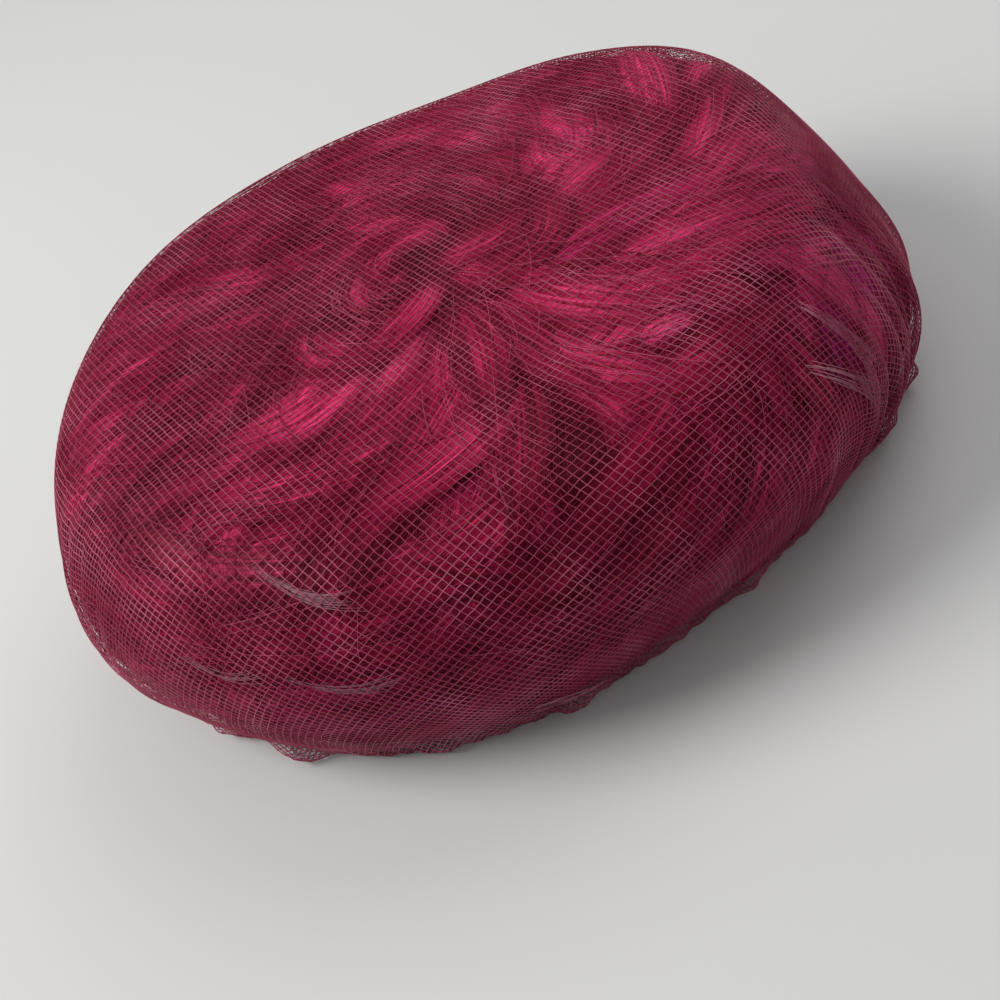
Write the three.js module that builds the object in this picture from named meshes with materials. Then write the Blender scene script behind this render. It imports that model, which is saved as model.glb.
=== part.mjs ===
// A pillbox hat: a felt crown covered with dyed feathers, under one layer of fine net
// that is gathered and turned in round the rim.
// Millimetres, +Z up. The front of the hat looks along -Y and its right side lies at -X.
// The origin is the middle of the hat, on the plane that its rim rests on.

import * as THREE from 'three';
import { NURBSCurve } from 'three/addons/curves/NURBSCurve.js';

// Overall sizes.
const coverRadius = 115; // the net cover seen from above, the mean of its sections
const crownHeight = 78; // from the rim to the middle of the crown

// Walls and the room between them, from the outside inwards.
const netThickness = 1.2; // the net over the feathers
const netSlack = 1; // from the net to the highest feathers
const featherLift = 3.2; // the highest feathers above the down they lie on
const featherBacking = 1.4; // the layer of down
const feltThickness = 2; // the crown's wall
const layerGap = 0.3; // between neighbouring layers

// The hem: the gathered edge of the net, folded under the rim and up inside it.
const hemThickness = 1.2;
const hemHeight = 5; // outside
const turnIn = 12; // inside
const hemRipples = 24; // gathers round the rim
const rippleDepth = 0.7;

// Facets.
const netSides = 72;
const netRows = 12;
const feltSides = 64;
const feltRows = 8;
const hemSides = 96;
const shoulderBunching = 0.35; // rows lie closer together over the shoulder, from 0 to 1

// The hat's section, one row for each control point from the rim to the middle of the crown.
// reach is a share of coverRadius, rise of crownHeight. The shares of a round section scale
// a row's reach by how much of low and high the row takes, and its rise likewise.
const sectionRows = [
  { at: 'rim', reach: 0.89, rise: 0, low: 1, high: 0, shoulder: 0, top: 0 },
  { at: 'underside', reach: 0.97, rise: 0.17, low: 1, high: 0, shoulder: 0, top: 0 },
  { at: 'wall', reach: 1.03, rise: 0.43, low: 0.5, high: 0.5, shoulder: 0, top: 0 },
  { at: 'shoulder', reach: 0.96, rise: 0.75, low: 0, high: 1, shoulder: 1, top: 0 },
  { at: 'edge', reach: 0.86, rise: 0.98, low: 0, high: 1, shoulder: 0.5, top: 0.5 },
  { at: 'crown', reach: 0.65, rise: 0.99, low: 0, high: 0.5, shoulder: 0, top: 1 },
  { at: 'middle', reach: 0.2, rise: 1, low: 0, high: 0, shoulder: 0, top: 0 },
  { at: 'centre', reach: 0, rise: 1, low: 0, high: 0, shoulder: 0, top: 0 },
];

// How the soft cover departs from round: one row for each section, evenly spaced from the
// hat's left side (+X) towards its back (+Y).
const roundSections = [
  { low: 0.88, high: 0.97, shoulder: 1.01, top: 1 },
  { low: 0.94, high: 1, shoulder: 1.05, top: 1.04 },
  { low: 1.02, high: 1.03, shoulder: 1.04, top: 1.03 },
  { low: 1.06, high: 1.06, shoulder: 1.01, top: 1 },
  { low: 1, high: 1.03, shoulder: 1.02, top: 0.97 },
  { low: 0.93, high: 1.01, shoulder: 0.98, top: 0.94 },
  { low: 0.87, high: 1, shoulder: 0.93, top: 0.96 },
  { low: 0.92, high: 0.98, shoulder: 0.95, top: 1.01 },
  { low: 1.03, high: 0.93, shoulder: 1.02, top: 1.02 },
  { low: 1.02, high: 0.94, shoulder: 1.11, top: 1.03 },
  { low: 1, high: 0.95, shoulder: 1.06, top: 0.99 },
  { low: 0.93, high: 0.95, shoulder: 0.98, top: 0.96 },
];

// Rings of overlapping feathers, from the rim up: where each ring's tips lie on the section,
// which is 0 at the rim and 1 at the centre. Each feather runs up to the next ring's tips.
const featherRings = [
  { ring: 'hem', tip: 0 },
  { ring: 'wall', tip: 0.22 },
  { ring: 'shoulder', tip: 0.44 },
  { ring: 'crown', tip: 0.68 },
];
const feathersInRing = 16;
const featherWhorl = 55; // how far a feather line leans round from rim to centre, in degrees
const tipRoundness = 0.09; // how far a tip's edges lie up the section from its point

// A feather across its width, from the edge that lies over its neighbour to the edge below
// the next one: places as shares of the width, heights as shares of featherLift.
const featherAcross = [
  { across: -0.47, height: 0.75 },
  { across: -0.28, height: 0.92 },
  { across: -0.05, height: 1 },
  { across: 0.18, height: 0.7 },
  { across: 0.36, height: 0.42 },
  { across: 0.49, height: 0.15 },
];
// A feather along its length, from its tip to where the next ring covers it.
const featherAlong = [
  { along: 0, height: 0.85 },
  { along: 0.2, height: 1 },
  { along: 0.6, height: 0.62 },
  { along: 1, height: 0.25 },
];

// Pleats where the net is taken in at the right of the front: how far up the section each
// one runs, how wide it is and how far it stands up, in degrees and millimetres.
const netPleats = [
  { turn: 200, from: -0.2, to: 0.36, width: 9, lift: 1.2 },
  { turn: 210, from: -0.1, to: 0.66, width: 9, lift: 1.8 },
  { turn: 220, from: -0.2, to: 0.6, width: 9, lift: 1.8 },
  { turn: 230, from: -0.1, to: 0.62, width: 9, lift: 1.6 },
  { turn: 245, from: -0.2, to: 0.42, width: 11, lift: 1.2 },
];

// Loops of the gathered net that stand out past the rim.
const hemPuffs = [
  { turn: 101, width: 13, reach: 2.6 },
  { turn: 115, width: 11, reach: 3.4 },
  { turn: 136, width: 9, reach: 2 },
  { turn: 156, width: 7, reach: 2.2 },
  { turn: 188, width: 8, reach: 1.6 },
  { turn: 220, width: 8, reach: 2.6 },
  { turn: 231, width: 9, reach: 3 },
  { turn: 262, width: 12, reach: 2 },
  { turn: 318, width: 12, reach: 1.8 },
  { turn: 38, width: 13, reach: 2.2 },
];
const puffRoot = 0.4; // a loop's reach on the plane the hat rests on, as a share

// Depths below the net's outer surface.
const featherTop = netThickness + netSlack;
const featherFloor = featherTop + featherLift;
const featherBack = featherFloor + featherBacking;
const feltOutside = featherBack + layerGap;
const feltInside = feltOutside + feltThickness;
const turnInOutside = feltInside + layerGap;
const turnInInside = turnInOutside + hemThickness;
const levelShare = 0.15; // up to this place on the section the walls are measured level

const degrees = Math.PI / 180;
const fullTurn = 360;

// A column of roundSections at any turn, on a smooth closed curve through its rows.
function around(column, turn) {
  const count = roundSections.length;
  const place = THREE.MathUtils.euclideanModulo(turn, fullTurn) / fullTurn * count;
  const row = Math.floor(place);
  const share = place - row;
  const value = (step) => roundSections[(row + step + count) % count][column];
  const [before, from, to, after] = [value(-1), value(0), value(1), value(2)];
  const bend = 2 * before - 5 * from + 4 * to - after + share * (3 * (from - to) + after - before);
  return from + 0.5 * share * (to - before + share * bend);
}

// The section at a turn, as a curve in the plane of reach (x) and height (y).
const sectionCurves = new Map();
function sectionAt(turn) {
  if (!sectionCurves.has(turn)) {
    const points = sectionRows.map((row) => {
      const factor = { low: 1, high: 1, shoulder: 1, top: 1 };
      for (const column in factor) factor[column] += row[column] * (around(column, turn) - 1);
      const reach = coverRadius * row.reach * factor.low * factor.high;
      const height = crownHeight * row.rise * factor.shoulder * factor.top;
      return new THREE.Vector4(reach, height, 0, 1);
    });
    const spans = sectionRows.length - 3;
    const knots = [0, 0, 0];
    for (let knot = 0; knot <= spans; knot++) knots.push(knot / spans);
    knots.push(1, 1, 1);
    sectionCurves.set(turn, new NURBSCurve(3, knots, points));
  }
  return sectionCurves.get(turn);
}

// The place on the section that lies at a given height above the rim.
function placeAtHeight(turn, height) {
  let low = 0;
  let high = 0.5;
  for (let halving = 0; halving < 30; halving++) {
    const middle = (low + high) / 2;
    if (sectionAt(turn).getPoint(middle).y < height) low = middle;
    else high = middle;
  }
  return low;
}

// A point of the hat: turn in degrees, place on the section, and depth below the net.
// Near the rim the depth runs level, so that the layers end on one plane.
function hatPoint(turn, place, depth) {
  const at = sectionAt(turn).getPoint(place);
  const along = sectionAt(turn).getTangent(place);
  const outward = new THREE.Vector2(along.y, -along.x);
  outward.y *= THREE.MathUtils.smoothstep(place, 0, levelShare);
  outward.normalize();
  const reach = Math.max(at.x - depth * outward.x, 0);
  const angle = turn * degrees;
  return new THREE.Vector3(reach * Math.cos(angle), reach * Math.sin(angle), at.y - depth * outward.y);
}

// The shortest way round from one turn to another, in degrees.
function turnBetween(from, to) {
  return THREE.MathUtils.euclideanModulo(to - from + fullTurn / 2, fullTurn) - fullTurn / 2;
}

// A smooth swell: 1 in the middle and 0 at width / 2 on either side.
function swell(offset, width) {
  const share = Math.min(Math.abs(offset) / (width / 2), 1);
  return 0.5 + 0.5 * Math.cos(share * Math.PI);
}

function pleatHeight(turn, place) {
  let height = 0;
  for (const pleat of netPleats) {
    const middle = (pleat.from + pleat.to) / 2;
    const length = pleat.to - pleat.from;
    height += pleat.lift * swell(turnBetween(pleat.turn, turn), pleat.width) * swell(place - middle, length);
  }
  return height;
}

// A closed mesh from rings of points. Each ring joins the next, and a ring of one point is
// a pole. With closed set, the last ring joins the first.
function ringMesh(rings, closed) {
  const starts = [];
  const positions = [];
  for (const ring of rings) {
    starts.push(positions.length / 3);
    for (const point of ring) positions.push(point.x, point.y, point.z);
  }
  const indices = [];
  const pairs = closed ? rings.length : rings.length - 1;
  for (let pair = 0; pair < pairs; pair++) {
    const next = (pair + 1) % rings.length;
    const sides = Math.max(rings[pair].length, rings[next].length);
    for (let side = 0; side < sides; side++) {
      const [a, b] = [side, side + 1].map((step) => starts[pair] + step % rings[pair].length);
      const [c, d] = [side + 1, side].map((step) => starts[next] + step % rings[next].length);
      if (a !== b) indices.push(a, b, c);
      if (c !== d) indices.push(a, c, d);
    }
  }
  const geometry = new THREE.BufferGeometry();
  geometry.setAttribute('position', new THREE.Float32BufferAttribute(positions, 3));
  geometry.setIndex(indices);
  geometry.computeVertexNormals();
  return geometry;
}

// One row of a bowl-shaped layer, from its edge (row 0) to the centre. The edge lies at
// edgeHeight above the rim, and the next row at the height that the hem is turned in to.
function layerRow({ row, rows, sides, edgeHeight, depthAt }) {
  const share = (row - 1) / (rows - 1);
  const bunched = share + shoulderBunching * Math.sin(2 * Math.PI * share) / (2 * Math.PI);
  const points = [];
  for (let side = 0; side < (row < rows ? sides : 1); side++) {
    const turn = side * fullTurn / sides;
    const start = placeAtHeight(turn, row > 0 ? turnIn : edgeHeight);
    const place = row > 0 ? Math.min(start + (1 - start) * bunched, 1) : start;
    points.push(hatPoint(turn, place, depthAt(turn, place)));
  }
  return points;
}

// The rows of one skin, from its edge to the centre.
function layerSkin(skin) {
  const skinRows = [];
  for (let row = 0; row <= skin.rows; row++) skinRows.push(layerRow({ ...skin, row }));
  return skinRows;
}

// A bowl-shaped layer, closed over the top and open below: its inner skin from the centre
// down to its edge, and its outer skin back up.
function layerMesh(inner, outer) {
  return ringMesh([...inner.reverse(), ...outer], false);
}

// The felt crown that carries everything.
function makeCrown() {
  const skin = { rows: feltRows, sides: feltSides, edgeHeight: hemThickness + layerGap };
  const inner = layerSkin({ ...skin, depthAt: () => feltInside });
  const outer = layerSkin({ ...skin, depthAt: () => feltOutside });
  return layerMesh(inner, outer);
}

// The outer skin of the feathers: columns that lean round with the feathers, and rows that
// run from each ring's rounded tips up to the next ring's.
function featherSkin(edgeHeight) {
  const columnsInFeather = featherAcross.length;
  const columns = feathersInRing * columnsInFeather;
  const featherTurn = fullTurn / feathersInRing;
  // Each ring is half a feather round from the one below.
  const columnAt = (ring, column) => {
    const shift = ring % 2 * columnsInFeather / 2;
    const shape = featherAcross[(column + shift) % columnsInFeather];
    const feather = Math.floor((column + shift) / columnsInFeather);
    return { shape, turn: (feather + shape.across - ring % 2 / 2) * featherTurn };
  };
  const tipPlace = (ring, column) => {
    const { shape, turn } = columnAt(ring, column);
    if (ring === 0) return placeAtHeight(turn, edgeHeight);
    if (ring === featherRings.length) return 1;
    return featherRings[ring].tip + tipRoundness * (2 * shape.across) ** 2;
  };
  const skinRows = [];
  for (let ring = 0; ring < featherRings.length; ring++) {
    for (const step of featherAlong) {
      const points = [];
      for (let column = 0; column < columns; column++) {
        const { shape, turn } = columnAt(ring, column);
        const place = THREE.MathUtils.lerp(tipPlace(ring, column), tipPlace(ring + 1, column), step.along);
        const depth = featherFloor - featherLift * shape.height * step.height;
        points.push(hatPoint(turn + featherWhorl * place, place, depth));
      }
      skinRows.push(points);
    }
  }
  skinRows[skinRows.length - 1] = [hatPoint(0, 1, featherFloor)];
  return skinRows;
}

// The feathers, in overlapping rings on a layer of down.
function makeFeathers() {
  const edgeHeight = hemThickness + layerGap;
  const sides = feathersInRing * featherAcross.length;
  const inner = layerSkin({ rows: feltRows, sides, edgeHeight, depthAt: () => featherBack });
  return layerMesh(inner, featherSkin(edgeHeight));
}

// The net over the crown, down to its gathered hem.
function makeNet() {
  const skin = { rows: netRows, sides: netSides, edgeHeight: hemHeight + layerGap };
  const inner = layerSkin({ ...skin, depthAt: () => netThickness });
  const outer = layerSkin({ ...skin, depthAt: (turn, place) => -pleatHeight(turn, place) });
  return layerMesh(inner, outer);
}

// The hem: up inside, under the rim and up outside, with a flat underside to rest on.
function makeHem() {
  const corners = [
    { height: hemHeight, depth: hemThickness, puff: 0 },
    { height: hemThickness, depth: hemThickness, puff: 0 },
    { height: hemThickness, depth: turnInOutside, puff: 0 },
    { height: turnIn, depth: turnInOutside, puff: 0 },
    { height: turnIn, depth: turnInInside, puff: 0 },
    { height: hemThickness / 2, depth: turnInInside, puff: 0 },
    { height: 0, depth: turnInInside - hemThickness / 2, puff: 0 },
    { height: 0, depth: 0, puff: puffRoot },
    { height: hemHeight / 2, depth: 0, puff: 1 },
    { height: hemHeight, depth: 0, puff: 1 },
  ];
  const rings = corners.map((corner) => {
    const points = [];
    for (let side = 0; side < hemSides; side++) {
      const turn = side * fullTurn / hemSides;
      let reach = rippleDepth * (0.5 - 0.5 * Math.cos(turn * hemRipples * degrees));
      for (const puff of hemPuffs) reach += puff.reach * swell(turnBetween(puff.turn, turn), puff.width);
      const place = placeAtHeight(turn, corner.height);
      points.push(hatPoint(turn, place, corner.depth - reach * corner.puff));
    }
    return points;
  });
  return ringMesh(rings, true);
}

const felt = new THREE.MeshStandardMaterial({ color: 0x4a0f20, roughness: 0.95, metalness: 0 });
const feather = new THREE.MeshStandardMaterial({ color: 0x8e1c4a, roughness: 0.7, metalness: 0 });
const net = new THREE.MeshStandardMaterial({
  color: 0xb9507f,
  roughness: 0.6,
  metalness: 0,
  transparent: true,
  opacity: 0.4,
});

const group = new THREE.Group();
function addPiece(name, geometry, material) {
  const mesh = new THREE.Mesh(geometry, material);
  mesh.name = name;
  group.add(mesh);
}
addPiece('crown', makeCrown(), felt);
addPiece('feather_cover', makeFeathers(), feather);
addPiece('net_cover', makeNet(), net);
addPiece('net_hem', makeHem(), net);

// The soft cover isn't quite round, so the middle of its outline is moved to the origin.
const middle = new THREE.Box3().setFromObject(group).getCenter(new THREE.Vector3());
for (const piece of group.children) piece.position.set(-middle.x, -middle.y, 0);

export default group;
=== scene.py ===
# Looks for a feather pillbox hat under fine net.
# Metres, +Z up. The front of the hat looks along -Y and its right side lies at -X.
# A place on the hat is its turn in degrees, from +X towards +Y, and its reach along the
# cover: metres of cloth from the middle of the crown, about 0.18 at the rim.

import bmesh
import bpy
import numpy as np
from mathutils import Matrix, Vector


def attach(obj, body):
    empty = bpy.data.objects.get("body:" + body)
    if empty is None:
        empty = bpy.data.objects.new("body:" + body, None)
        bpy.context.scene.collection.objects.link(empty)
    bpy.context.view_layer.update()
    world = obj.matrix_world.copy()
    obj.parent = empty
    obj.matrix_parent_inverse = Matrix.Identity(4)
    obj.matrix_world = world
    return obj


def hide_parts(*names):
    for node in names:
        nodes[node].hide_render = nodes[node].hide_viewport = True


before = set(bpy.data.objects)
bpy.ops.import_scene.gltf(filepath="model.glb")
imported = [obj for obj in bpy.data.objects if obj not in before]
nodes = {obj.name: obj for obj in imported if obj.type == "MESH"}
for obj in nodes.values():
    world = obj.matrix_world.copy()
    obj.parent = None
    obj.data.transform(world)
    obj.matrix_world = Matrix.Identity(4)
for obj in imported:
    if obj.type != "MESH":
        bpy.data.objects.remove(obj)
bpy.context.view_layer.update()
print("frame loaded:", sorted(nodes))

mm = 0.001

# The hat's surface, from the same section tables as the solids.
hat = {
    "coverRadius": 115 * mm,
    "crownHeight": 78 * mm,
    "middle": (-1.04 * mm, 4.17 * mm),
    # reach, rise, then how much of low, high, shoulder and top each control row takes
    "sectionRows": [
        (0.89, 0, 1, 0, 0, 0),
        (0.97, 0.17, 1, 0, 0, 0),
        (1.03, 0.43, 0.5, 0.5, 0, 0),
        (0.96, 0.75, 0, 1, 1, 0),
        (0.86, 0.98, 0, 1, 0.5, 0.5),
        (0.65, 0.99, 0, 0.5, 0, 1),
        (0.2, 1, 0, 0, 0, 0),
        (0, 1, 0, 0, 0, 0),
    ],
    # low, high, shoulder, top: every 30 degrees from the hat's left side towards its back
    "roundSections": [
        (0.88, 0.97, 1.01, 1),
        (0.94, 1, 1.05, 1.04),
        (1.02, 1.03, 1.04, 1.03),
        (1.06, 1.06, 1.01, 1),
        (1, 1.03, 1.02, 0.97),
        (0.93, 1.01, 0.98, 0.94),
        (0.87, 1, 0.93, 0.96),
        (0.92, 0.98, 0.95, 1.01),
        (1.03, 0.93, 1.02, 1.02),
        (1.02, 0.94, 1.11, 1.03),
        (1, 0.95, 1.06, 0.99),
        (0.93, 0.95, 0.98, 0.96),
    ],
    "levelShare": 0.15,  # up to here on the section the depth runs level
    "turnSteps": 360,
    "placeSteps": 240,
}


def smoothStep(value, low, high):
    share = np.clip((value - low) / (high - low), 0, 1)
    return share * share * (3 - 2 * share)


def turnBetween(start, end):
    return np.mod(end - start + 180, 360) - 180


def swell(offset, width):
    return 0.5 + 0.5 * np.cos(np.minimum(np.abs(offset) / (width / 2), 1) * np.pi)


# The columns of roundSections at any turn, on a smooth closed curve.
def roundShares(turns):
    rows = np.array(hat["roundSections"])
    place = np.mod(turns, 360) / 360 * len(rows)
    row = np.floor(place).astype(int)
    share = (place - row)[:, None]
    before, start, end, after = (rows[(row + step) % len(rows)] for step in (-1, 0, 1, 2))
    bend = 2 * before - 5 * start + 4 * end - after + share * (3 * (start - end) + after - before)
    return start + 0.5 * share * (end - before + share * bend)


# How much each control row counts at each place of a cubic section.
def splineShares(places, count):
    knots = np.concatenate([[0] * 3, np.linspace(0, 1, count - 2), [1] * 3])
    places = np.minimum(places, 1 - 1e-9)
    shares = [
        ((low <= places) & (places < high)).astype(float) for low, high in zip(knots, knots[1:])
    ]
    for degree in (1, 2, 3):
        joined = []
        for start in range(len(shares) - 1):
            rise = knots[start + degree] - knots[start]
            fall = knots[start + degree + 1] - knots[start + 1]
            value = 0 * places
            if rise:
                value = value + (places - knots[start]) / rise * shares[start]
            if fall:
                value = value + (knots[start + degree + 1] - places) / fall * shares[start + 1]
            joined.append(value)
        shares = joined
    return np.array(shares)


# One row for each turn, one column for each place: reach and height of the outer surface,
# the way outwards, and the length of cloth from the middle of the crown.
def hatTables():
    turns = np.linspace(0, 360, hat["turnSteps"] + 1)
    places = np.linspace(0, 1, hat["placeSteps"] + 1)
    low, high, shoulder, top = roundShares(turns).T[:, :, None]
    rows = np.array(hat["sectionRows"])
    reachRows = (
        hat["coverRadius"]
        * rows[:, 0]
        * (1 + rows[:, 2] * (low - 1))
        * (1 + rows[:, 3] * (high - 1))
    )
    riseRows = (
        hat["crownHeight"]
        * rows[:, 1]
        * (1 + rows[:, 4] * (shoulder - 1))
        * (1 + rows[:, 5] * (top - 1))
    )
    shares = splineShares(places, len(rows))
    reach, height = reachRows @ shares, riseRows @ shares
    outReach, outHeight = np.gradient(height, axis=1), -np.gradient(reach, axis=1)
    outHeight = outHeight * smoothStep(places, 0, hat["levelShare"])
    size = np.hypot(outReach, outHeight)
    steps = np.hypot(np.diff(reach, axis=1), np.diff(height, axis=1))
    fromMiddle = np.cumsum(steps[:, ::-1], axis=1)[:, ::-1]
    cloth = np.concatenate([fromMiddle, np.zeros((len(turns), 1))], axis=1)
    return np.stack([reach, height, outReach / size, outHeight / size, cloth])


reachTable, heightTable, outReachTable, outHeightTable, clothTable = hatTables()


# The row of a table before each turn, and how far past that row the turn is.
def turnRow(turns):
    turnAt = np.mod(turns, 360) / 360 * hat["turnSteps"]
    row = np.minimum(turnAt.astype(int), hat["turnSteps"] - 1)
    return row, turnAt - row


def lookUp(table, turns, places):
    row, a = turnRow(turns)
    placeAt = np.clip(places, 0, 1) * hat["placeSteps"]
    column = np.minimum(placeAt.astype(int), hat["placeSteps"] - 1)
    b = placeAt - column
    return (
        table[row, column] * (1 - a) * (1 - b)
        + table[row + 1, column] * a * (1 - b)
        + table[row, column + 1] * (1 - a) * b
        + table[row + 1, column + 1] * a * b
    )


# Place on the section for a length of cloth, as a table: one column every clothStep.
clothStep = 0.5 * mm
longestCloth = 0.2
clothLengths = np.arange(0, longestCloth, clothStep)
sectionPlaces = np.linspace(1, 0, hat["placeSteps"] + 1)
placeTable = np.array([np.interp(clothLengths, row[::-1], sectionPlaces) for row in clothTable])
rimCloth = clothTable[:, 0]


def placeOf(turns, cloth):
    row, a = turnRow(turns)
    clothAt = np.clip(cloth / clothStep, 0, len(clothLengths) - 1.001)
    column = clothAt.astype(int)
    b = clothAt - column
    near = placeTable[row, column] * (1 - b) + placeTable[row, column + 1] * b
    far = placeTable[row + 1, column] * (1 - b) + placeTable[row + 1, column + 1] * b
    return near * (1 - a) + far * a


def rimOf(turns):
    return np.interp(np.mod(turns, 360), np.linspace(0, 360, hat["turnSteps"] + 1), rimCloth)


# Points of the hat at turns and places, at depths below the net's outer surface.
def hatPoints(turns, places, depths):
    reach = lookUp(reachTable, turns, places) - depths * lookUp(outReachTable, turns, places)
    height = lookUp(heightTable, turns, places) - depths * lookUp(outHeightTable, turns, places)
    angle = np.radians(turns)
    reach = np.maximum(reach, 0)
    x, y = hat["middle"]
    return np.stack([reach * np.cos(angle) - x, reach * np.sin(angle) - y, height], axis=-1)


# A socket that can be used in sums, and a tree that makes nodes in one line.
class Value:
    def __init__(self, tree, socket):
        self.tree, self.socket = tree, socket

    def math(self, operation, *others):
        inputs = dict(enumerate((self, *others)))
        return self.tree.node("ShaderNodeMath", {"operation": operation}, inputs)

    def __add__(self, other):
        return self.math("ADD", other)

    def __mul__(self, other):
        return self.math("MULTIPLY", other)

    def __sub__(self, other):
        return self.math("SUBTRACT", other)

    def __rsub__(self, other):
        return (self * -1) + other

    def __truediv__(self, other):
        return self.math("DIVIDE", other)

    def __pow__(self, other):
        return self.math("POWER", other)

    __radd__, __rmul__ = __add__, __mul__

    def smooth(self, low, high):
        settings = {"interpolation_type": "SMOOTHSTEP"}
        inputs = {"Value": self, "From Min": low, "From Max": high}
        return self.tree.node("ShaderNodeMapRange", settings, inputs)


class Finish:
    def __init__(self, name):
        self.material = bpy.data.materials.new(name)
        self.material.use_nodes = True
        self.nodes, self.links = self.material.node_tree.nodes, self.material.node_tree.links
        self.shader = self.nodes["Principled BSDF"]

    def node(self, kind, settings=None, inputs=None, output=0):
        made = self.nodes.new(kind)
        for name, setting in (settings or {}).items():
            if name == "stops":
                self.setStops(made.color_ramp, setting)
            else:
                setattr(made, name, setting)
        for name, value in (inputs or {}).items():
            self.feed(made.inputs[name], value)
        return Value(self, made.outputs[output])

    def setStops(self, ramp, stops):
        while len(ramp.elements) < len(stops):
            ramp.elements.new(0.5)
        for element, (place, colour) in zip(ramp.elements, stops):
            element.position, element.color = place, (*colour, 1)

    def feed(self, socket, value):
        if isinstance(value, Value):
            self.links.new(value.socket, socket)
        elif socket.type == "RGBA" and len(value) == 3:
            socket.default_value = (*value, 1)
        else:
            socket.default_value = value

    def set(self, **inputs):
        for name, value in inputs.items():
            self.feed(self.shader.inputs[name.replace("_", " ")], value)
        return self

    def attribute(self, name, output="Fac"):
        return self.node("ShaderNodeAttribute", {"attribute_name": name}, output=output)

    def place(self):
        return self.node("ShaderNodeTexCoord", output="Object")

    def noise(self, vector, scale, detail=2.0, roughness=0.5):
        inputs = {"Vector": vector, "Scale": scale, "Detail": detail, "Roughness": roughness}
        return self.node("ShaderNodeTexNoise", inputs=inputs)

    def ramp(self, value, stops):
        return self.node("ShaderNodeValToRGB", {"stops": stops}, {"Fac": value})

    def mix(self, share, first, second, blend="MIX"):
        settings = {"data_type": "RGBA", "blend_type": blend}
        made = self.node("ShaderNodeMix", settings, {"Factor": share}, output=2)
        node = made.socket.node
        self.feed(node.inputs[6], first)
        self.feed(node.inputs[7], second)
        return made

    def vector(self, x, y, z=0.0):
        return self.node("ShaderNodeCombineXYZ", inputs={"X": x, "Y": y, "Z": z})

    def parts(self, vector):
        made = self.node("ShaderNodeSeparateXYZ", inputs={"Vector": vector})
        return [Value(self, output) for output in made.socket.node.outputs]

    def bump(self, height, strength, distance):
        inputs = {"Height": height, "Strength": strength, "Distance": distance}
        return self.node("ShaderNodeBump", inputs=inputs)


def addPiece(name, mesh, materials, slot, *replaced):
    piece = bpy.data.objects.new(name, mesh)
    bpy.context.scene.collection.objects.link(piece)
    for number, material in enumerate(materials):
        if number < len(mesh.materials):
            mesh.materials[number] = material
        else:
            mesh.materials.append(material)
    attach(piece, "root")
    if replaced:
        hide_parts(*replaced)
    return piece


# A mesh of thin three-sided strands along lists of points, one material index for each.
def strandMesh(name, lines, side, materialAt=None, radiusAt=None, capped=True):
    outline = bpy.data.curves.new("strandOutline", "CURVE")
    corner = outline.splines.new("POLY")
    corner.points.add(2)
    for number, point in enumerate(corner.points):
        angle = 2 * np.pi * number / 3
        point.co = (side / 3**0.5 * np.cos(angle), side / 3**0.5 * np.sin(angle), 0, 1)
    corner.use_cyclic_u = True
    outlineObject = bpy.data.objects.new("strandOutline", outline)
    curve = bpy.data.curves.new(name, "CURVE")
    curve.dimensions = "3D"
    curve.bevel_mode = "OBJECT"
    curve.bevel_object = outlineObject
    curve.use_fill_caps = capped
    for _ in range(int(max(materialAt)) + 1 if materialAt is not None else 1):
        curve.materials.append(None)
    for number, line in enumerate(lines):
        spline = curve.splines.new("POLY")
        spline.points.add(len(line) - 1)
        spline.points.foreach_set("co", np.column_stack([line, np.ones(len(line))]).ravel())
        if materialAt is not None:
            spline.material_index = int(materialAt[number])
        if radiusAt is not None:
            spline.points.foreach_set("radius", radiusAt)
        spline.use_smooth = True
    holder = bpy.data.objects.new(name, curve)
    bpy.context.scene.collection.objects.link(holder)
    bpy.context.scene.collection.objects.link(outlineObject)
    graph = bpy.context.evaluated_depsgraph_get()
    mesh = bpy.data.meshes.new_from_object(holder.evaluated_get(graph), depsgraph=graph)
    mesh.name = name
    bpy.data.objects.remove(holder)
    bpy.data.objects.remove(outlineObject)
    return mesh


# The camera stands where the photographer did, and its roll is the hat's tilt there.
view = {
    "stand": Vector((-346.4, 89.5, 270.1)) * mm,
    "lookAt": Vector((-54.94, 20.7, 40)) * mm,
    "roll": 27.56,
    "lens": 57.1,
    "sensor": 36,
}
camera = bpy.data.objects.new("camera", bpy.data.cameras.new("camera"))
camera.data.lens, camera.data.sensor_width = view["lens"], view["sensor"]
aim = (view["lookAt"] - view["stand"]).to_track_quat("-Z", "Y")
roll = Matrix.Rotation(-np.radians(view["roll"]), 4, "Z")
camera.matrix_world = Matrix.Translation(view["stand"]) @ aim.to_matrix().to_4x4() @ roll
bpy.context.scene.collection.objects.link(camera)
bpy.context.scene.camera = camera
bpy.context.scene.view_settings.view_transform = "Standard"

studio = {
    "floorSize": 6,
    "floorColour": (0.54, 0.54, 0.53),
    "floorRoughness": 0.7,
    "air": ((0.97, 0.98, 1.0), 0.49),
    "lamps": [
        # place, aim, size, power, colour
        ((0.4, 1.0, 1.1), (0, 0, 0.03), 0.9, 21, (1, 0.99, 0.98)),
        ((0.3, -0.9, 1.2), (0, 0, 0.03), 1.1, 6, (0.97, 0.98, 1)),
    ],
}


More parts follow.
